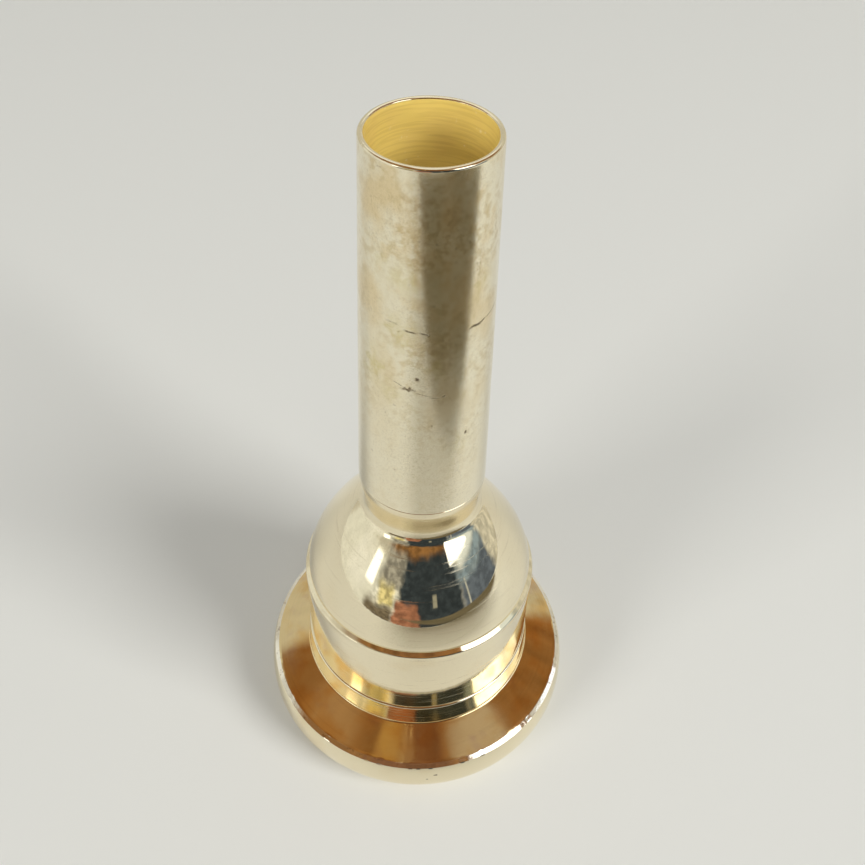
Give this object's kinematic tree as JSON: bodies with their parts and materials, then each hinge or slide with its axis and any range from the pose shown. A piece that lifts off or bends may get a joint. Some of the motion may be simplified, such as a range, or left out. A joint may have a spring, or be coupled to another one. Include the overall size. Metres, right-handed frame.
{
  "type": "brass instrument mouthpiece",
  "caption": "Turned mouthpiece for a low brass instrument: wide rounded rim, domed cup and tapered tubular shank that screw together.",
  "frame": {"origin": "centre of the flat circle on which the rim touches a table or the player's lips", "axes": "+Z along the bore, from the rim towards the shank's tip; X and Y are alike, because the part is turned"},
  "size_m": [0.0412, 0.0412, 0.0844],
  "materials": {
    "rim_plate": "silver plate over brass, polished, with brown-gold tarnish on the flange",
    "cup_plate": "silver plate over brass, mirror-polished dome",
    "shank_plate": "silver plate over brass, lightly tarnished outside, bare machined brass in the backbore"
  },
  "bodies": {
    "rim": {"rim": "rim_plate"},
    "cup": {"cup": "cup_plate"},
    "shank": {"shank": "shank_plate"}
  },
  "joints": [
    {"name": "rim_screw", "type": "slide", "parent": "rim", "child": "cup", "axis": [0, 0, 1], "range_m": [0, 0.012]},
    {"name": "shank_screw", "type": "slide", "parent": "cup", "child": "shank", "axis": [0, 0, 1], "range_m": [0, 0.02]}
  ]
}
